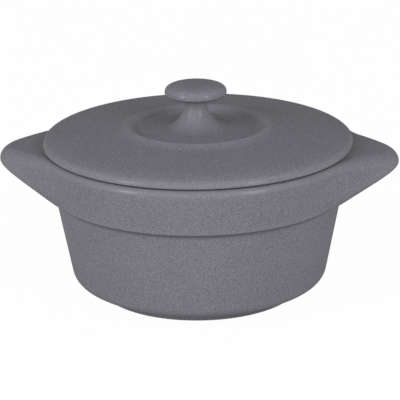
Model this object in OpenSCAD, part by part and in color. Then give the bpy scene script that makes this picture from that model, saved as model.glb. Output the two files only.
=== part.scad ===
// Lidded mini pot: a small round stoneware casserole with two ears and a knobbed lid.
// Millimetres, +Z up, origin at the middle of the foot ring on the table, ears along X.

/* [Pot] */
// Radius of the collar's lower edge
collar_r = 48; // [47.5:0.1:48.5]
// Height of the collar's lower edge above the table
collar_z = 33.6; // [30:0.1:36]
// Height of the rim above the table
rim_z = 48.5; // [47:0.1:52]
// Slope of the wall and the collar from the vertical, in degrees
draft = 10.7; // [10:0.1:11.4]
// How far the collar stands out over the wall
overhang = 1.55; // [1.2:0.05:2]
// Thickness of the wall, measured level
wall = 4.6; // [4.2:0.1:5]
// Rounding between the wall and the underside
corner_r = 4.4; // [2:0.1:6]
// Height of the floor inside the pot
floor_z = 7.2; // [6.5:0.1:10]
// Rounding between the floor and the wall inside the pot
floor_round = 6; // [3:0.1:9]

/* [Foot] */
// Outer radius of the foot ring
foot_r = 32.9; // [30:0.1:34]
// Width of the foot ring
foot_w = 3.6; // [3:0.1:6]
// Height of the underside outside the foot ring
foot_h = 3.7; // [3:0.1:4]
// Height of the sunk panel inside the foot ring
panel_h = 2.2; // [2:0.1:2.6]

/* [Ears] */
// Distance from the axis to the tip of an ear
ear_tip = 64.4; // [60:0.1:68]
// How far an ear stands out from the collar at its lower edge
ear_heel = 2; // [1:0.1:4]
// Rounding of the tip seen from above
tip_round = 11.2; // [9:0.1:18]
// Rounding of an ear's lower edge seen from above
heel_round = 39.8; // [30:0.1:43]
// Rounding along the top edge of an ear
ear_round = 3.9; // [3:0.1:5.5]
// Depth of an ear's top below the rim
ear_drop = 0.25; // [0.2:0.05:1.4]
// How far an ear's top sags towards the tip
ear_sag = 1.5; // [0:0.1:3]
// Depth of the hollow along an ear's flanks, seen from above
ear_hollow = 1.2; // [0:0.1:3]

/* [Lid] */
// Outer radius of the lid
lid_r = 49.7; // [49.4:0.1:50.2]
// Height of the lid's edge line above the rim
edge_h = 0.95; // [0.9:0.05:1.2]
// Gap that shows between the rim and the lid's edge
edge_gap = 0.4; // [0.3:0.05:0.6]
// Width of the rounded shoulder inside the lid's edge
shoulder_w = 10; // [8:0.1:12]
// Height of the rounded shoulder
shoulder_h = 2.6; // [2.3:0.1:2.9]
// Squareness of the rounded shoulder, with 2 for an ellipse
shoulder_power = 2.8; // [2:0.1:3.4]
// Slope of the lid between the shoulder and the ridge, in degrees
lid_slope = 4.6; // [4:0.1:5.2]
// Radius of the raised ring on the lid
ridge_r = 22.6; // [21.5:0.1:24]
// Height of the raised ring above the rim
ridge_h = 6.6; // [6.4:0.1:6.9]
// Depth of the dish inside the raised ring
dish_depth = 1.9; // [1.5:0.1:2.6]
// Depth of the locating flange below the rim
flange_h = 5; // [4.6:0.1:8]
// Width of the locating flange
flange_w = 4; // [3:0.1:5]
// Clearance between the flange and the wall of the pot
play = 0.8; // [0.5:0.05:1.2]
// Height of the lid's ceiling above the rim
ceiling_h = 0.8; // [0.4:0.1:1.2]

/* [Knob] */
// Radius of the knob's cap
cap_r = 9.9; // [8:0.1:11]
// Height of the cap's widest line above the floor of the dish
cap_h = 12.05; // [11.8:0.05:16]
// Height of the cap above its widest line
cap_rise = 3.1; // [2:0.1:4]
// Depth of the cap below its widest line
cap_drop = 2.2; // [1.5:0.1:2.2]
// Radius of the knob's neck
neck_r = 3.6; // [3:0.05:5]
// Radius of the flare from the neck to the dish
flare_r = 8.2; // [7:0.1:8.4]

/* [Hidden] */
$fn = 96;
glaze = [0.46, 0.457, 0.478];
rim_round = 1.8;
rim_inner_round = 1.2;
edge_round = 0.6;
crease = 0.5;
foot_round = 0.7;
foot_fillet = 1;
foot_inner_r = foot_r - foot_w;

// The ear starts just above the collar's lower edge and ends below the rim
ear_low = collar_z + 0.3;
ear_top = rim_z - ear_drop;
ear_mid = ear_top - ear_round;
ear_low_round = 0.5;
// Rounding of the tip seen from the side, where the underside turns up
tip_bend = 6.2;
// Distance from the axis at which an ear's top starts to sag
sag_start = 44;
// How far the tip draws back down to the heel, and the slope of that line per height of the ear
ear_fall = ear_tip - ear_heel - face_r(ear_low);
ear_flare = sqrt(ear_fall * (ear_fall + 2 * tip_bend));
// Depth by which an ear's flanks run into the collar, so that they end in a clean line
ear_root = 0.35;

edge_z = rim_z + edge_h;
ridge_z = rim_z + ridge_h;
dish_z = ridge_z - dish_depth;
dish_r = 18;
// Tilt of the dish's floor down from the knob to the ridge
dish_tilt = 6;
ridge_round = 2.6;
ridge_fall = 26;
// Slope and rounding of the ridge's inner side, which turns into the dish below it
dish_rise = 2 * atan(dish_depth / (ridge_r - dish_r));
dish_round = (ridge_r - dish_r) / (2 * sin(dish_rise));
dish_c = [dish_r, dish_z + dish_round];
seat_r = 47.4;
lip_round = edge_h - edge_gap;
ceiling_z = rim_z + ceiling_h;
ceiling_round = 2.5;
flange_round = 1;

// The flare runs out of the neck into the tilted floor of the dish
flare_out = neck_r + flare_r;
flare_lift = ((dish_r - flare_out) * sin(dish_tilt) + flare_r - dish_round) / cos(dish_tilt);
flare_c = [flare_out, dish_c[1] + flare_lift];
// The knob is luted on at this height, where the flare has opened out
joint_z = flare_c[1] - flare_r + 2;
joint_angle = 180 + asin((flare_c[1] - joint_z) / flare_r);
cap_z = dish_z + cap_h;
cap_power = 3.1;
neck_fillet = 0.9;

// Points on an arc from angle a0 to angle a1
function arc(c, r, a0, a1, n = 10) =
    [for (i = [0:n]) let (a = a0 + (a1 - a0) * i / n) c + r * [cos(a), sin(a)]];

// Radius of the collar's face, the wall's outside and the wall's inside at height z
function face_r(z) = collar_r + (z - collar_z) * tan(draft);
function wall_r(z) = face_r(z) - overhang;
function inner_r(z) = wall_r(z) - wall;

// Convex corner at height z, from level to a sloped face with radius r at height z + q
function low_corner(r, z, q, n = 10) = arc([r - q / cos(draft), z + q], q, -90, -draft, n);

// Outline of the collar, from the crease under it to the rim
function collar_outline() = concat(
    arc([wall_r(collar_z - crease) + crease / cos(draft), collar_z - crease], crease, 180 - draft, 90, 5),
    low_corner(face_r(collar_z + edge_round), collar_z, edge_round, 6),
    arc([face_r(rim_z - rim_round) - rim_round / cos(draft), rim_z - rim_round], rim_round, -draft, 90, 8)
);

function foot_outline() = concat(
    [[0, panel_h]],
    arc([foot_inner_r - foot_fillet, panel_h - foot_fillet], foot_fillet, 90, 0, 6),
    arc([foot_inner_r + foot_round, foot_round], foot_round, 180, 270, 6),
    arc([foot_r - foot_round, foot_round], foot_round, 270, 360, 6),
    arc([foot_r + foot_fillet, foot_h - foot_fillet], foot_fillet, 180, 90, 6)
);

function inside_outline() = concat(
    arc([inner_r(rim_z - rim_inner_round) + rim_inner_round / cos(draft), rim_z - rim_inner_round],
        rim_inner_round, 90, 180 - draft, 8),
    arc([inner_r(floor_z + floor_round) - floor_round / cos(draft), floor_z + floor_round],
        floor_round, -draft, -90, 12),
    [[0, floor_z]]
);

// Share of an ear's height that lies between height z and the tip
function ear_depth(z) = max(0, ear_mid - z) / (ear_mid - ear_low);

// Distance of the tip from the axis, and the rounding of the tip, at height z
function ear_tip_at(z) = ear_tip + tip_bend - norm([tip_bend, ear_flare * ear_depth(z)]);
function tip_round_at(z) = tip_round + (heel_round - tip_round) * ear_depth(z);

// How far an ear sags at distance x from the axis and height z
function sag_at(x, z) =
    ear_sag * pow(max(0, x - sag_start) / (ear_tip - sag_start), 2) * (z - ear_low) / (ear_top - ear_low);

// Half outline of an ear seen from above: the tip's rounding, then a hollow flank that runs into the collar
function ear_half(z, zc, inset) =
    let (
        tip_r = tip_round_at(zc),
        side_r = face_r(zc) - ear_root - inset,
        middle = ear_tip_at(zc) - tip_r,
        turn = acos((side_r + inset - tip_r) / middle),
        out = [cos(turn), sin(turn)],
        tip = arc([middle, 0], tip_r - inset, 0, turn, 10),
        dip = ear_hollow * (1 - ear_depth(zc)),
        flank = [for (i = [1:8])
            tip[10] + (side_r * out - tip[10]) * i / 8 - dip * pow(sin(22.5 * i), 2) * out]
    )
    [for (p = concat(tip, flank)) [p[0], p[1], z - sag_at(p[0], z)]];

// Whole outline, from the near flank round the tip to the far flank
function ear_ring(v) =
    let (half = ear_half(v[0], v[1], v[2]), n = len(half))
    concat([for (i = [n - 1:-1:1]) [half[i][0], -half[i][1], half[i][2]]], half);

// Each level of an ear as its height, the height that its outline is taken from, and its inset
function ear_levels() = concat(
    [for (i = [0:3]) let (t = 90 * i / 4, z = ear_low + ear_low_round * (1 - cos(t)))
        [z, z, ear_low_round * (1 - sin(t))]],
    [for (i = [0:11]) let (z = ear_low + ear_low_round + (ear_mid - ear_low - ear_low_round) * i / 11)
        [z, z, 0]],
    [for (i = [1:9]) [ear_mid + ear_round * sin(10 * i), ear_mid, ear_round * (1 - cos(10 * i))]]
);

// Lid's height on its straight slope at radius r
function slope_z(r) = edge_z + shoulder_h + (lid_r - r) * tan(lid_slope);

// Lid's top from the edge to the ridge, the dish and the foot of the knob
function lid_top() =
    let (
        crest = [ridge_r, ridge_z - ridge_round],
        turn = ridge_fall - lid_slope,
        low = (crest[1] - slope_z(ridge_r)) * cos(lid_slope),
        outer_r = (low + ridge_round * cos(turn)) / (1 - cos(turn)),
        outer_c = crest + (ridge_round + outer_r) * [sin(ridge_fall), cos(ridge_fall)],
        inner_c = [ridge_r, ridge_z - dish_round]
    )
    concat(
        [for (i = [0:18]) let (
            a = 5 * i,
            r = lid_r - shoulder_w * (1 - pow(cos(a), 2 / shoulder_power)),
            lift = shoulder_h * pow(sin(a), 2 / shoulder_power)
        )
            [r, edge_z + lift + (lid_r - r) * tan(lid_slope)]],
        arc(outer_c, outer_r, 270 - lid_slope, 270 - ridge_fall, 8),
        arc(crest, ridge_round, 90 - ridge_fall, 89, 6),
        arc(inner_c, dish_round, 90, 90 + dish_rise, 10),
        arc(dish_c, dish_round, dish_rise - 92, -90 - dish_tilt, 12),
        arc(flare_c, flare_r, 270 - dish_tilt, joint_angle, 10),
        [[0, joint_z]]
    );

// Lid's underside from the axis out to the flange, the seat and the edge
function lid_under() =
    let (
        low_z = rim_z - flange_h,
        outer = inner_r(low_z) - play,
        inner = outer - flange_w
    )
    concat(
        [[0, ceiling_z]],
        arc([inner - ceiling_round, ceiling_z - ceiling_round], ceiling_round, 90, 0, 8),
        arc([inner + flange_round, low_z + flange_round], flange_round, 180, 270, 6),
        arc([outer - flange_round, low_z + flange_round], flange_round, 270, 360, 6),
        [[inner_r(rim_z) - play, rim_z], [seat_r, rim_z], [seat_r + edge_gap, rim_z + edge_gap]],
        arc([lid_r - lip_round, rim_z + edge_gap + lip_round], lip_round, 270, 355, 6)
    );

function cap_under_z(r) = cap_z - cap_drop * sqrt(1 - pow(r / cap_r, 2));

function knob_outline() =
    let (fillet_r = neck_r + neck_fillet)
    concat(
        [[0, joint_z]],
        arc(flare_c, flare_r, joint_angle, 180, 12),
        arc([fillet_r, cap_under_z(fillet_r) - neck_fillet], neck_fillet, 180, 90, 6),
        [for (i = [1:11]) let (a = 90 * i / 12, r = fillet_r + (cap_r - fillet_r) * sin(a))
            [r, cap_under_z(r)]],
        [for (i = [0:17]) let (a = 5 * i)
            [cap_r * pow(cos(a), 2 / cap_power), cap_z + cap_rise * pow(sin(a), 2 / cap_power)]],
        [[0, cap_z + cap_rise]]
    );

module pot_bowl() {
    color(glaze)
        rotate_extrude()
            polygon(concat(
                foot_outline(),
                low_corner(wall_r(foot_h + corner_r), foot_h, corner_r, 12),
                collar_outline(),
                inside_outline()
            ));
}

// Closed block of an ear, running into the collar behind a straight chord
module ear_block() {
    outer = [for (v = ear_levels()) ear_ring(v)];
    edge = outer[len(outer) - 1];
    middle = sag_start;
    // The top closes in on its middle in two more rings, so that it follows the sag
    rings = concat(outer, [for (s = [0.7, 0.4]) [for (p = edge)
        let (x = middle + (p[0] - middle) * s) [x, p[1] * s, ear_top - sag_at(x, ear_top)]]]);
    count = len(edge);
    rows = len(rings);
    last = rows * count;
    points = concat(
        [for (ring = rings) each ring],
        [[middle, 0, ear_low], [middle, 0, ear_top]]
    );
    sides = [for (i = [0:rows - 2], j = [0:count - 1])
        let (k = (j + 1) % count, p = i * count + j, q = i * count + k)
        each [[p, p + count, q], [q, p + count, q + count]]];
    ends = [for (j = [0:count - 1])
        let (k = (j + 1) % count, top = (rows - 1) * count)
        each [[last, j, k], [last + 1, top + k, top + j]]];
    polyhedron(points, concat(sides, ends));
}

// What the collar fills, so that an ear ends on its face
module collar_core() {
    rotate_extrude()
        polygon(concat(
            [[0, collar_z - 4], [wall_r(collar_z - 4), collar_z - 4]],
            collar_outline(),
            [[0, rim_z]]
        ));
}

module ear() {
    difference() {
        ear_block();
        collar_core();
    }
}

module ear_right() {
    color(glaze) ear();
}

module ear_left() {
    color(glaze) mirror([1, 0, 0]) ear();
}

module lid_disc() {
    color(glaze) rotate_extrude() polygon(concat(lid_under(), lid_top()));
}

module lid_knob() {
    color(glaze) rotate_extrude() polygon(knob_outline());
}

pot_bowl();
ear_left();
ear_right();
lid_disc();
lid_knob();
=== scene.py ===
from math import acos, atan, atan2, cos, degrees, hypot, pi, radians, sin, sqrt, tan
import bmesh
import bpy
from mathutils import Matrix, Vector


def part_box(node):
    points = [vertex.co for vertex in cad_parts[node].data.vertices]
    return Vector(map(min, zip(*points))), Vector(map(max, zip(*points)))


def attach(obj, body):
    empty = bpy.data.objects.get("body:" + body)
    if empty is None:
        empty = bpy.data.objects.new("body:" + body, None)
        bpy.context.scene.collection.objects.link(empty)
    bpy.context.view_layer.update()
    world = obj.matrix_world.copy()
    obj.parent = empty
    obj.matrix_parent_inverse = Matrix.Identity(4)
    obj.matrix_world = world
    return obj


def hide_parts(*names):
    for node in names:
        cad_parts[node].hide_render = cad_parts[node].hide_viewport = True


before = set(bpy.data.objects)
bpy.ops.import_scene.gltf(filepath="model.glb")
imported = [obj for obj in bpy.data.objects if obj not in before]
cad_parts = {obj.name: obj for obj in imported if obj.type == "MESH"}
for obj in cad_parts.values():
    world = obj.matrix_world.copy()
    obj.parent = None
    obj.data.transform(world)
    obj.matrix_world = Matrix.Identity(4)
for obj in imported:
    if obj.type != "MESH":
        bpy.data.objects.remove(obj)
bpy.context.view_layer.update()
scene = bpy.context.scene
mm = 0.001  # sizes below are millimetres, meshes are made in metres
print("frame:", ", ".join(sorted(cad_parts)))


# camera, fitted to the ellipses of the lid, the collar and the foot
shot = {
    "azimuth": 4.7,
    "elevation": 19.02,
    "distance": 650,
    "targetHeight": 25,
    "targetPixel": (198.93, 211.77),  # where the target falls in the picture
    "roll": -0.754,
    "focalPixels": 1998,
    "imageSize": 400,
    "sensor": 36,
}


def directionFrom(azimuth, elevation):
    a = radians(azimuth)
    e = radians(elevation)
    return Vector((sin(a) * cos(e), -cos(a) * cos(e), sin(e)))


def makeCamera():
    back = directionFrom(shot["azimuth"], shot["elevation"])
    level = Vector((cos(radians(shot["azimuth"])), sin(radians(shot["azimuth"])), 0))
    turn = radians(shot["roll"])
    right = level * cos(turn) + back.cross(level) * sin(turn)
    target = Vector((0, 0, shot["targetHeight"]))
    place = target + back * shot["distance"]
    # the camera aims beside the target, so that the target falls on its own pixel
    perPixel = shot["distance"] / shot["focalPixels"]
    middle = shot["imageSize"] / 2
    aim = target + right * (middle - shot["targetPixel"][0]) * perPixel
    aim += back.cross(right) * (shot["targetPixel"][1] - middle) * perPixel
    axis = (place - aim).normalized()
    right = (right - axis * right.dot(axis)).normalized()
    turnMatrix = Matrix((right, axis.cross(right), axis)).transposed()
    data = bpy.data.cameras.new("camera")
    data.sensor_width = shot["sensor"]
    data.lens = shot["focalPixels"] / shot["imageSize"] * shot["sensor"]
    camera = bpy.data.objects.new("camera", data)
    camera.matrix_world = Matrix.Translation(place * mm) @ turnMatrix.to_4x4()
    scene.collection.objects.link(camera)
    scene.camera = camera


makeCamera()
print("camera: set")


# outlines are lists of (radius, height), from the axis out and back to the axis
def arc(centre, radius, start, end, steps):
    angles = [radians(start + (end - start) * i / steps) for i in range(steps + 1)]
    return [(centre[0] + radius * cos(a), centre[1] + radius * sin(a)) for a in angles]


def filled(outline, gap):
    # adds points to straight stretches that are longer than the gap
    points = [outline[0]]
    for start, end in zip(outline, outline[1:]):
        count = max(1, round(hypot(end[0] - start[0], end[1] - start[1]) / gap))
        for i in range(1, count + 1):
            share = i / count
            points.append(tuple(p + (q - p) * share for p, q in zip(start, end)))
    return points


def smoothStep(low, high, value):
    share = min(1, max(0, (value - low) / (high - low)))
    return share * share * (3 - 2 * share)


def mix(first, second, share):
    return first + (second - first) * share


# how pale the glaze is along a section: on tight edges, partly thin glaze and partly a painted
# highlight; on the upright stem near the axis, painted light that lifts the shade under the knob's
# cap
thinningAndPaintedLight = {
    "edgeRadii": (8.0, 2.6),  # from the softest edge that shows it to a tight one, in millimetres
    "edgeShare": 0.35,
    "stemLightRadii": (14.0, 4.5),  # from the axis, where the stem's painted light starts and where it is full
    "stemLightShare": 0.7,
    "passes": 3,  # of smoothing along the section
}
sharpAngle = 40  # degrees, edges that bend by more stay sharp


def thinGlazeAndPaintedLight(section):
    flat = [(hypot(x, y), z) for x, y, z in section]
    low, high = (1 / r for r in thinningAndPaintedLight["edgeRadii"])
    shares = [0.0] * len(flat)
    for i in range(1, len(flat) - 1):
        a = (flat[i][0] - flat[i - 1][0], flat[i][1] - flat[i - 1][1])
        b = (flat[i + 1][0] - flat[i][0], flat[i + 1][1] - flat[i][1])
        bend = atan2(a[0] * b[1] - a[1] * b[0], a[0] * b[0] + a[1] * b[1])
        edge = smoothStep(low, high, 2 * bend / (hypot(*a) + hypot(*b)))
        upright = (a[1] + b[1]) / hypot(a[0] + b[0], a[1] + b[1])
        # painted light: lifts the shade that the knob's cap casts on the upright stem
        stem = max(0, upright) * smoothStep(*thinningAndPaintedLight["stemLightRadii"], flat[i][0])
        shares[i] = max(thinningAndPaintedLight["edgeShare"] * edge, thinningAndPaintedLight["stemLightShare"] * stem)
    for _ in range(thinningAndPaintedLight["passes"]):
        triples = zip(shares, shares[1:], shares[2:])
        shares = [shares[0], *((p + 2 * q + r) / 4 for p, q, r in triples), shares[-1]]
    return shares


def skin(name, sections):
    # one section for each angle, all with as many points, closed on the axis at both ends
    rows = len(sections[0]) - 2
    count = len(sections)
    points = [sections[0][0], sections[0][-1]]
    shares = [0.0, 0.0]
    for section in sections:
        points += section[1:-1]
        shares += thinGlazeAndPaintedLight(section)[1:-1]
    faces = []
    for j in range(count):
        here = 2 + j * rows
        there = 2 + (j + 1) % count * rows
        faces.append((0, there, here))
        faces.append((1, here + rows - 1, there + rows - 1))
        faces += [(here + i, there + i, there + i + 1, here + i + 1) for i in range(rows - 1)]
    mesh = bpy.data.meshes.new(name)
    mesh.from_pydata([Vector(p) * mm for p in points], [], faces)
    work = bmesh.new()
    work.from_mesh(mesh)
    bmesh.ops.recalc_face_normals(work, faces=work.faces)
    work.to_mesh(mesh)
    work.free()
    mesh.attributes.new("thinGlazeAndPaintedLight", "FLOAT", "POINT").data.foreach_set("value", shares)
    mesh.shade_smooth()
    mesh.set_sharp_from_angle(angle=radians(sharpAngle))
    piece = bpy.data.objects.new(name, mesh)
    scene.collection.objects.link(piece)
    print(name + ":", len(mesh.vertices), "points,", len(mesh.polygons), "faces")
    return piece


def around(outline, angle):
    return [(r * cos(angle), r * sin(angle), z) for r, z in outline]


# pot: a turned bowl with a foot ring and a collar, and two ears drawn out of the collar
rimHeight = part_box("pot_bowl")[1].z / mm
pot = {
    "collarRadius": 48.0,  # at the collar's lower edge
    "collarHeight": 33.6,
    "draft": 10.7,  # degrees by which the wall and the collar lean out
    "overhang": 1.55,  # of the collar over the wall
    "wall": 4.6,  # measured level
    "cornerRound": 4.4,
    "floorHeight": 7.2,
    "floorRound": 6.0,
    "rimRound": 1.8,
    "rimInnerRound": 1.2,
    "edgeRound": 0.6,
    "crease": 0.5,
    "footRadius": 32.9,
    "footWidth": 3.6,
    "footRound": 0.7,
    "footFillet": 1.0,
    "undersideHeight": 3.7,
    "panelHeight": 2.2,
    "columns": 360,
    "rowGap": 3.0,
    "rimGap": 1.0,  # between rows on the flat of the rim
}
ear = {
    "tip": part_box("ear_right")[1].x / mm,  # distance from the axis
    "lift": 0.3,  # of the ear's lower edge above the collar's
    "heel": 2.0,  # how far the lower edge stands out
    "tipRound": 11.2,  # seen from above
    "heelRound": 39.8,
    "tipBend": 6.2,  # where the underside turns up into the tip
    "round": 3.9,  # along the top edge
    "drop": 0.25,  # of the ear's top below the rim
    "sag": 1.5,  # of the tip below the rest of the ear's top
    "sagStart": 44.0,
    "hollow": 1.2,  # of the flank between the collar and the tip, seen from above
    "roundFull": 6.0,  # reach at which the top edge has its full rounding
    "riseRadius": 49.7,  # the ear's top climbs to the rim inside this, under the lid
    "riseWidth": 1.0,
    "beadRows": 6,  # from the collar's lower edge up over the face to the flat of the rim
    "faceRows": 16,
    "roundRows": 12,
    "topRows": 14,
}
draft = radians(pot["draft"])


def faceRadius(z):
    return pot["collarRadius"] + (z - pot["collarHeight"]) * tan(draft)


def wallRadius(z):
    return faceRadius(z) - pot["overhang"]


def innerRadius(z):
    return wallRadius(z) - pot["wall"]


earLow = pot["collarHeight"] + ear["lift"]
earMid = rimHeight - ear["drop"] - ear["round"]
earFall = ear["tip"] - ear["heel"] - faceRadius(earLow)  # how far the tip draws back down to the heel
earFlare = sqrt(earFall * (earFall + 2 * ear["tipBend"]))


def outlineRadius(angle, z, inset):
    # seen from above: the collar's circle, the tip's rounding, and a hollow flank tangent to both
    a = abs((angle + pi / 2) % pi - pi / 2)
    depth = max(0, earMid - z) / (earMid - earLow)
    tipRound = mix(ear["tipRound"], ear["heelRound"], depth)
    middle = ear["tip"] + ear["tipBend"] - hypot(ear["tipBend"], earFlare * depth) - tipRound
    turn = acos((faceRadius(z) - tipRound) / middle)
    side = faceRadius(z) - inset
    tipRound -= inset
    if a < atan2(tipRound * sin(turn), middle + tipRound * cos(turn)):
        return middle * cos(a) + sqrt(tipRound ** 2 - (middle * sin(a)) ** 2)
    lean = max(0, turn - a)
    along = min(1, side * tan(lean) / (middle * sin(turn)))
    return (side - ear["hollow"] * (1 - depth) * sin(pi * along) ** 2) / cos(lean)


def earSag(angle, r, z):
    outward = max(0, r * abs(cos(angle)) - ear["sagStart"]) / (ear["tip"] - ear["sagStart"])
    share = min(1, max(0, (z - earLow) / (rimHeight - ear["drop"] - earLow)))
    return ear["sag"] * outward ** 2 * share


def footOutline():
    foot = pot["footRadius"]
    inside = foot - pot["footWidth"]
    bead = pot["footRound"]
    fillet = pot["footFillet"]
    under = pot["undersideHeight"]
    corner = pot["cornerRound"]
    crease = pot["crease"]
    low = pot["collarHeight"] - crease
    return filled([
        (0, pot["panelHeight"]),
        *arc((inside - fillet, pot["panelHeight"] - fillet), fillet, 90, 0, 6),
        *arc((inside + bead, bead), bead, 180, 270, 6),
        *arc((foot - bead, bead), bead, 270, 360, 6),
        *arc((foot + fillet, under - fillet), fillet, 180, 90, 6),
        *arc((wallRadius(under + corner) - corner / cos(draft), under + corner),
             corner, -90, -pot["draft"], 12),
        *arc((wallRadius(low) + crease / cos(draft), low), crease, 180 - pot["draft"], 90, 5),
    ], pot["rowGap"])


def insideOutline():
    lip = pot["rimInnerRound"]
    bowl = pot["floorRound"]
    floor = pot["floorHeight"]
    return filled([
        *arc((innerRadius(rimHeight - lip) + lip / cos(draft), rimHeight - lip),
             lip, 90, 180 - pot["draft"], 8),
        *arc((innerRadius(floor + bowl) - bowl / cos(draft), floor + bowl),
             bowl, -pot["draft"], -90, 12),
        (0, floor),
    ], pot["rowGap"])


def collarSection(angle, start, end):
    # from the crease under the collar, over its face and its rounded top, to the flat of the rim
    low = pot["collarHeight"]
    bead = pot["edgeRound"]
    earShare = smoothStep(0, ear["roundFull"], outlineRadius(angle, earMid, 0) - faceRadius(earMid))
    top = rimHeight - ear["drop"] * earShare
    rounding = mix(pot["rimRound"], ear["round"], earShare)
    lean = draft * (1 - earShare)
    shoulder = top - rounding * (1 + sin(lean))
    outline = []
    for i in range(ear["beadRows"] + 1):
        t = pi / 2 * i / ear["beadRows"]
        z = low + bead * (1 - cos(t))
        outline.append((outlineRadius(angle, z, bead * (1 - sin(t))), z))
    for i in range(1, ear["faceRows"] + 1):
        z = mix(low + bead, shoulder, i / ear["faceRows"])
        outline.append((outlineRadius(angle, z, 0), z))
    for i in range(1, ear["roundRows"] + 1):
        t = mix(-lean, pi / 2, i / ear["roundRows"])
        inset = rounding * (cos(lean) - cos(t))
        z = shoulder + rounding * (sin(t) + sin(lean))
        outline.append((outlineRadius(angle, shoulder, inset), z))
    outline = [(r, z - earSag(angle, r, z)) for r, z in outline]
    edge = outline[-1][0]
    rise = min(edge, ear["riseRadius"])
    for i in range(1, ear["topRows"]):
        r = mix(edge, end[0], i / ear["topRows"])
        climb = smoothStep(rise, rise - ear["riseWidth"], r)
        outline.append((r, mix(top - earSag(angle, r, top), end[1], climb)))
    # one row halfway between the crease and the collar's lower edge
    return [tuple((p + q) / 2 for p, q in zip(start, outline[0])), *outline]


def makePot():
    foot = footOutline()
    inside = insideOutline()
    flat = faceRadius(rimHeight - pot["rimRound"]) - 2 * pot["rimRound"]
    inside = filled([(flat, rimHeight), inside[0]], pot["rimGap"]) + inside[1:]
    sections = []
    for j in range(pot["columns"]):
        angle = 2 * pi * j / pot["columns"]
        collar = collarSection(angle, foot[-1], inside[0])
        sections.append(around(foot + collar + inside, angle))
    piece = skin("pot_body", sections)
    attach(piece, "pot")
    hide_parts("pot_bowl", "ear_left", "ear_right")
    return piece


# lid: a rounded shoulder, a slope, a raised ring, a dish and the knob that grows out of it
lid = {
    "radius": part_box("lid_disc")[1].x / mm,
    "edgeHeight": 0.95,  # heights are above the rim
    "edgeGap": 0.4,
    "shoulderWidth": 10.0,
    "shoulderHeight": 2.6,
    "shoulderPower": 2.8,  # above 2 the shoulder is squarer than an ellipse
    "slope": 4.6,
    "ridgeRadius": 22.6,
    "ridgeHeight": 6.6,
    "ridgeRound": 2.6,
    "ridgeFall": 26,
    "dishRadius": 18.0,
    "dishDepth": 1.9,
    "dishTilt": 6,  # of the dish's floor, down from the knob to the ring
    "seatRadius": 47.4,
    "ceilingHeight": 0.8,
    "ceilingRound": 2.5,
    "flangeDepth": 5.0,
    "flangeWidth": 4.0,
    "flangeRound": 1.0,
    "play": 0.8,  # between the flange and the pot's inside
    "columns": 300,
    "rowGap": 2.5,
    "shoulderRows": 32,
}
knob = {
    "top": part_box("lid_knob")[1].z / mm,
    "radius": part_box("lid_knob")[1].x / mm,
    "rise": 3.1,  # from the widest line to the top
    "drop": 2.2,  # from the widest line to the underside
    "power": 3.1,
    "neckRadius": 3.6,
    "neckFillet": 0.9,
    "flare": 8.2,
    "offset": -0.55,  # the knob sits a little off the lid's axis
    "offsetRise": 4.0,  # height over which the neck leans out to it
    "underRows": 16,
    "capRows": 33,
}
dishFloor = rimHeight + lid["ridgeHeight"] - lid["dishDepth"]
dishRun = lid["ridgeRadius"] - lid["dishRadius"]
dishRise = 2 * degrees(atan(lid["dishDepth"] / dishRun))
dishRound = dishRun / (2 * sin(radians(dishRise)))  # of the ring's inner side and the dish below
dishCentre = Vector((lid["dishRadius"], dishFloor + dishRound))
flareRadius = knob["neckRadius"] + knob["flare"]
tilt = radians(lid["dishTilt"])
flareLift = ((dishCentre.x - flareRadius) * sin(tilt) + knob["flare"] - dishRound) / cos(tilt)
flareCentre = Vector((flareRadius, dishCentre.y + flareLift))


def lidUnder():
    ceiling = rimHeight + lid["ceilingHeight"]
    low = rimHeight - lid["flangeDepth"]
    outer = innerRadius(low) - lid["play"]
    inner = outer - lid["flangeWidth"]
    bead = lid["flangeRound"]
    cove = lid["ceilingRound"]
    lip = lid["edgeHeight"] - lid["edgeGap"]
    return [
        (0, ceiling),
        *arc((inner - cove, ceiling - cove), cove, 90, 0, 8),
        *arc((inner + bead, low + bead), bead, 180, 270, 6),
        *arc((outer - bead, low + bead), bead, 270, 360, 6),
        (innerRadius(rimHeight) - lid["play"], rimHeight),
        (lid["seatRadius"], rimHeight),
        (lid["seatRadius"] + lid["edgeGap"], rimHeight + lid["edgeGap"]),
        *arc((lid["radius"] - lip, rimHeight + lid["edgeHeight"]), lip, 270, 355, 6),
    ]


def lidTop():
    edge = rimHeight + lid["edgeHeight"]
    slope = radians(lid["slope"])
    power = 2 / lid["shoulderPower"]
    shoulder = []
    for i in range(lid["shoulderRows"] + 1):
        a = pi / 2 * i / lid["shoulderRows"]
        inward = lid["shoulderWidth"] * (1 - max(0, cos(a)) ** power)
        lift = lid["shoulderHeight"] * sin(a) ** power
        shoulder.append((lid["radius"] - inward, edge + lift + inward * tan(slope)))
    # the slope runs into the ring through a hollow arc
    crest = Vector((lid["ridgeRadius"], rimHeight + lid["ridgeHeight"] - lid["ridgeRound"]))
    fall = radians(lid["ridgeFall"])
    bend = cos(fall - slope)
    slopeHeight = edge + lid["shoulderHeight"] + (lid["radius"] - crest.x) * tan(slope)
    hollow = ((crest.y - slopeHeight) * cos(slope) + lid["ridgeRound"] * bend) / (1 - bend)
    hollowCentre = crest + (lid["ridgeRound"] + hollow) * Vector((sin(fall), cos(fall)))
    inner = crest + Vector((0, lid["ridgeRound"] - dishRound))
    return [
        *shoulder,
        *arc(hollowCentre, hollow, 270 - lid["slope"], 270 - lid["ridgeFall"], 8),
        *arc(crest, lid["ridgeRound"], 90 - lid["ridgeFall"], 90, 6),
        *arc(inner, dishRound, 90, 90 + dishRise, 10)[1:],
        *arc(dishCentre, dishRound, dishRise - 90, -90 - lid["dishTilt"], 12)[1:],
    ]


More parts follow.
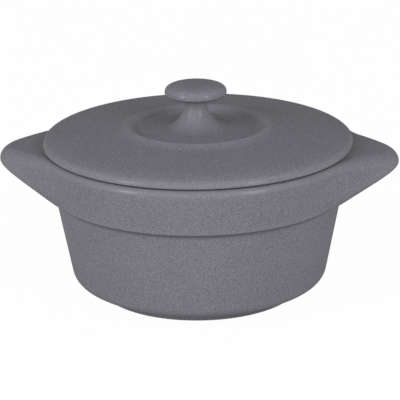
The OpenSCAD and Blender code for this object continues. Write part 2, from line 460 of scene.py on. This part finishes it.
def knobOutline():
    widest = knob["top"] - knob["rise"]
    neck = knob["neckRadius"]
    fillet = knob["neckFillet"]

    def capUnder(r):
        return widest - knob["drop"] * sqrt(1 - (r / knob["radius"]) ** 2)

    under = []
    for i in range(1, knob["underRows"]):
        r = mix(neck + fillet, knob["radius"], sin(pi / 2 * i / knob["underRows"]))
        under.append((r, capUnder(r)))
    power = 2 / knob["power"]
    cap = []
    for i in range(knob["capRows"]):
        a = pi / 2 * i / knob["capRows"]
        cap.append((knob["radius"] * cos(a) ** power, widest + knob["rise"] * sin(a) ** power))
    return [
        *arc(flareCentre, knob["flare"], 270 - lid["dishTilt"], 180, 20),
        *arc((neck + fillet, capUnder(neck + fillet) - fillet), fillet, 180, 90, 6),
        *under,
        *cap,
        (0, knob["top"]),
    ]


def knobShift(r, z):
    if r >= lid["dishRadius"]:
        return 0
    return knob["offset"] * smoothStep(0, knob["offsetRise"], z - dishFloor)


def makeLid():
    outline = filled(lidUnder() + lidTop() + knobOutline(), lid["rowGap"])
    shifts = [knobShift(r, z) for r, z in outline]
    sections = []
    for j in range(lid["columns"]):
        section = around(outline, 2 * pi * j / lid["columns"])
        sections.append([(x + shift, y, z) for (x, y, z), shift in zip(section, shifts)])
    piece = skin("lid_body", sections)
    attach(piece, "lid")
    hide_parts("lid_disc", "lid_knob")
    return piece


# shader maths: a wire is a socket, and sums of wires and numbers add Math nodes
class Wire:
    def __init__(self, tree, socket=None):
        self.tree = tree
        self.socket = socket

    def node(self, kind, settings=None, inputs=None, output=0):
        made = self.tree.nodes.new(kind)
        for name, value in (settings or {}).items():
            setattr(made, name, value)
        for name, value in (inputs or {}).items():
            if isinstance(value, Wire):
                self.tree.links.new(value.socket, made.inputs[name])
            else:
                made.inputs[name].default_value = value
        return Wire(self.tree, made.outputs[output] if made.outputs else None)

    def maths(self, operation, *values):
        return self.node("ShaderNodeMath", {"operation": operation}, dict(enumerate(values)))

    def __add__(self, other):
        return self.maths("ADD", self, other)

    __radd__ = __add__

    def __sub__(self, other):
        return self.maths("SUBTRACT", self, other)

    def __rsub__(self, other):
        return self.maths("SUBTRACT", other, self)

    def __mul__(self, other):
        return self.maths("MULTIPLY", self, other)

    __rmul__ = __mul__

    def smooth(self, low, high):
        ramp = {"interpolation_type": "SMOOTHSTEP"}
        sockets = {"Value": self, "From Min": low, "From Max": high}
        return self.node("ShaderNodeMapRange", ramp, sockets)

    def blend(self, first, second):
        # this wire's share of the second colour over the first, on the node's colour sockets
        return self.node("ShaderNodeMix", {"data_type": "RGBA"}, {0: self, 6: first, 7: second}, 2)


# glaze: satin grey, finely speckled and faintly mottled, paler on edges from thin glaze and a painted
# highlight, painted light on the knob's stem, painted shadow under the collar
glaze = {
    "dark": (0.121, 0.119, 0.136, 1),
    "light": (0.248, 0.244, 0.273, 1),
    # paler colour: thin glaze on edges with a painted highlight there, and painted light on the
    # knob's stem
    "thinAndLit": (0.252, 0.247, 0.270, 1),
    # painted shadow colour for the wall under the collar's overhang
    "paintedCollarShadow": (0.112, 0.110, 0.124, 1),
    "clay": (0.42, 0.38, 0.33, 1),
    "roughness": 0.55,
    "mottleRough": 0.10,  # how far the mottle and the grain vary the roughness
    "grainRough": 0.06,
    "clayRoughness": 0.9,
    "specular": 0.0,  # the gloss comes from the coat alone
    "coat": 0.14,  # a thin gloss over the matt body of the glaze
    "coatRoughness": 0.19,
    "coatIndex": 1.9,  # a dense glaze, so the gloss grows little towards the outline
    "grain": 0.34,  # sizes and heights in millimetres
    "speckle": 0.95,
    "mottle": 9.0,
    "ripple": 2.4,
    "pinhole": 5.0,
    "pinholeEdge": (0.02, 0.07),  # as shares of the pinholes' spacing
    "mottleShare": 0.06,  # of the mottle in the tint, where the rest is grain
    "tintRange": (0.21, 0.79),  # noise values of the dark and the light tint
    "rippleRelief": 0.3,
    "grainRelief": 0.25,
    "pinholeRelief": 0.6,
    "clayRelief": 0.5,
    "reliefStrength": 0.5,
    "reliefHeight": 0.04,
    "collarShadowDepth": 2.0,  # below the collar's lower edge, where the painted shadow band starts
    "collarShadowFull": 0.5,
    "collarShadowFade": 0.3,  # above that edge
    "collarShadowRadii": (43, 45),  # keeps the band off the inside of the pot
    "bareEdge": (0.28, 0.42),  # the foot ring is bare clay below these heights
    "bareWander": 0.2,
}


def metres(*sizes):
    return [size * mm for size in sizes]


def glazeMaterial():
    material = bpy.data.materials.new("satin_glaze")
    material.use_nodes = True
    tree = material.node_tree
    tree.nodes.clear()
    start = Wire(tree)
    place = start.node("ShaderNodeTexCoord", output="Object")
    across, along, height = (
        start.node("ShaderNodeSeparateXYZ", inputs={"Vector": place}, output=axis) for axis in "XYZ")
    radius = start.maths("SQRT", across * across + along * along)
    thinAndLit = start.node("ShaderNodeAttribute", {"attribute_name": "thinGlazeAndPaintedLight"}, output="Fac")

    def noise(size, detail):
        inputs = {"Vector": place, "Scale": 1 / (size * mm), "Detail": detail}
        return start.node("ShaderNodeTexNoise", inputs=inputs)

    grain = noise(glaze["grain"], 1)
    speckle = noise(glaze["speckle"], 1)
    mottle = noise(glaze["mottle"], 3)
    ripple = noise(glaze["ripple"], 1)
    cells = start.node("ShaderNodeTexVoronoi", inputs={
        "Vector": place,
        "Scale": 1 / (glaze["pinhole"] * mm),
    })
    pinhole = 1 - cells.smooth(*glaze["pinholeEdge"])

    tint = (1 - glaze["mottleShare"]) * grain + glaze["mottleShare"] * mottle
    colour = tint.smooth(*glaze["tintRange"]).blend(glaze["dark"], glaze["light"])
    # paler where the glaze is thin on edges, partly a painted highlight, and painted light on the
    # stem under the knob's cap
    colour = thinAndLit.blend(colour, glaze["thinAndLit"])
    # painted shadow: the wall just under the collar is darkened where the collar's overhang shades it
    collar = pot["collarHeight"]
    under = height.smooth(*metres(collar - glaze["collarShadowDepth"], collar - glaze["collarShadowFull"]))
    above = height.smooth(*metres(collar, collar + glaze["collarShadowFade"]))
    outside = radius.smooth(*metres(*glaze["collarShadowRadii"]))
    colour = (under * (1 - above) * outside).blend(colour, glaze["paintedCollarShadow"])
    bareLine = height + glaze["bareWander"] * mm * mottle
    bare = 1 - bareLine.smooth(*metres(*glaze["bareEdge"]))
    colour = bare.blend(colour, glaze["clay"])

    rough = glaze["roughness"] + glaze["mottleRough"] * (mottle - 0.5)
    rough = rough + glaze["grainRough"] * (grain - 0.5)
    rough = rough + bare * (glaze["clayRoughness"] - glaze["roughness"])
    relief = glaze["rippleRelief"] * ripple + glaze["grainRelief"] * grain
    relief = relief - glaze["pinholeRelief"] * pinhole + glaze["clayRelief"] * bare * speckle
    normal = start.node("ShaderNodeBump", inputs={
        "Height": relief,
        "Strength": glaze["reliefStrength"],
        "Distance": glaze["reliefHeight"] * mm,
    })
    surface = start.node("ShaderNodeBsdfPrincipled", inputs={
        "Base Color": colour,
        "Roughness": rough,
        "Normal": normal,
        "Specular IOR Level": glaze["specular"],
        "Coat Weight": glaze["coat"],
        "Coat Roughness": glaze["coatRoughness"],
        "Coat IOR": glaze["coatIndex"],
    })
    start.node("ShaderNodeOutputMaterial", inputs={"Surface": surface})
    return material


potPiece = makePot()
lidPiece = makeLid()
satinGlaze = glazeMaterial()
potPiece.data.materials.append(satinGlaze)
lidPiece.data.materials.append(satinGlaze)
print("glaze: on the pot and the lid")


# studio, in metres: a white floor, two strip lamps, a broad front lamp, and a dim room that is
# paler at its sides and overhead
studio = {
    "lamps": {
        "lampLeft": {"azimuth": -52, "elevation": 20, "power": 4.0, "size": (0.22, 0.62)},
        "lampRight": {"azimuth": 40, "elevation": 20, "power": 3.7, "size": (0.22, 0.62)},
        "lampFront": {"azimuth": -4, "elevation": 30, "power": 1.5, "size": (0.9, 0.9)},
    },
    "lampDistance": 1.0,
    "room": 0.16,
    "walls": 0.30,
    "ceiling": 0.40,
    "floor": (0.82, 0.82, 0.82, 1),
    "floorSize": 8.0,
    "floorDrop": 0.0002,
    "shadowShare": 0.02,  # how much of the floor's own shade shows in its white
    "glossShare": 0.08,  # how much of the white shows in the glaze
    "horizon": 0.08,  # height of the white behind the floor, as a sine
}


def rayKinds(wires):
    # each is 1 for its own kind of ray: from the camera, off gloss, through glass
    kinds = ("Is Camera Ray", "Is Glossy Ray", "Is Transmission Ray")
    return [wires.node("ShaderNodeLightPath", output=kind) for kind in kinds]


def makeFloor():
    half = studio["floorSize"] / 2
    drop = -studio["floorDrop"]
    mesh = bpy.data.meshes.new("floor")
    corners = [(-half, -half, drop), (half, -half, drop), (half, half, drop), (-half, half, drop)]
    mesh.from_pydata(corners, [], [(0, 1, 2, 3)])
    material = bpy.data.materials.new("white_floor")
    material.use_nodes = True
    material.node_tree.nodes.clear()
    start = Wire(material.node_tree)
    camera, gloss, glass = rayKinds(start)
    shaded = start.node("ShaderNodeBsdfDiffuse", inputs={"Color": studio["floor"]})
    white = start.node("ShaderNodeEmission", inputs={"Strength": 1.0})
    share = (camera + glass + studio["glossShare"] * gloss) * (1 - studio["shadowShare"])
    surface = start.node("ShaderNodeMixShader", inputs={0: share, 1: shaded, 2: white})
    start.node("ShaderNodeOutputMaterial", inputs={"Surface": surface})
    mesh.materials.append(material)
    floor = bpy.data.objects.new("floor", mesh)
    scene.collection.objects.link(floor)


def makeRoom():
    world = bpy.data.worlds.new("room")
    world.use_nodes = True
    world.node_tree.nodes.clear()
    start = Wire(world.node_tree)
    camera, gloss, glass = rayKinds(start)
    facing = start.node("ShaderNodeTexCoord", output="Generated")
    sideways, height = (
        start.node("ShaderNodeSeparateXYZ", inputs={"Vector": facing}, output=axis) for axis in "XZ")
    low = 1 - height.smooth(studio["horizon"], 2 * studio["horizon"])
    light = studio["room"] + studio["walls"] * sideways * sideways
    light = light + studio["ceiling"] * height * height
    dim = start.node("ShaderNodeBackground", inputs={"Color": (1, 1, 1, 1), "Strength": light})
    white = start.node("ShaderNodeBackground", inputs={"Color": (1, 1, 1, 1)})
    share = camera + glass + studio["glossShare"] * gloss * low
    surface = start.node("ShaderNodeMixShader", inputs={0: share, 1: dim, 2: white})
    start.node("ShaderNodeOutputWorld", inputs={"Surface": surface})
    scene.world = world


def makeLamps():
    target = Vector((0, 0, shot["targetHeight"] * mm))
    for name, lamp in studio["lamps"].items():
        data = bpy.data.lights.new(name, "AREA")
        data.shape = "RECTANGLE"
        data.size, data.size_y = lamp["size"]
        data.energy = lamp["power"]
        back = directionFrom(shot["azimuth"] + lamp["azimuth"], lamp["elevation"])
        light = bpy.data.objects.new(name, data)
        light.location = target + back * studio["lampDistance"]
        light.rotation_mode = "QUATERNION"
        light.rotation_quaternion = back.to_track_quat("Z", "Y")
        scene.collection.objects.link(light)


makeFloor()
makeRoom()
makeLamps()
scene.view_settings.view_transform = "Standard"
print("studio: floor, room and", len(studio["lamps"]), "lamps")
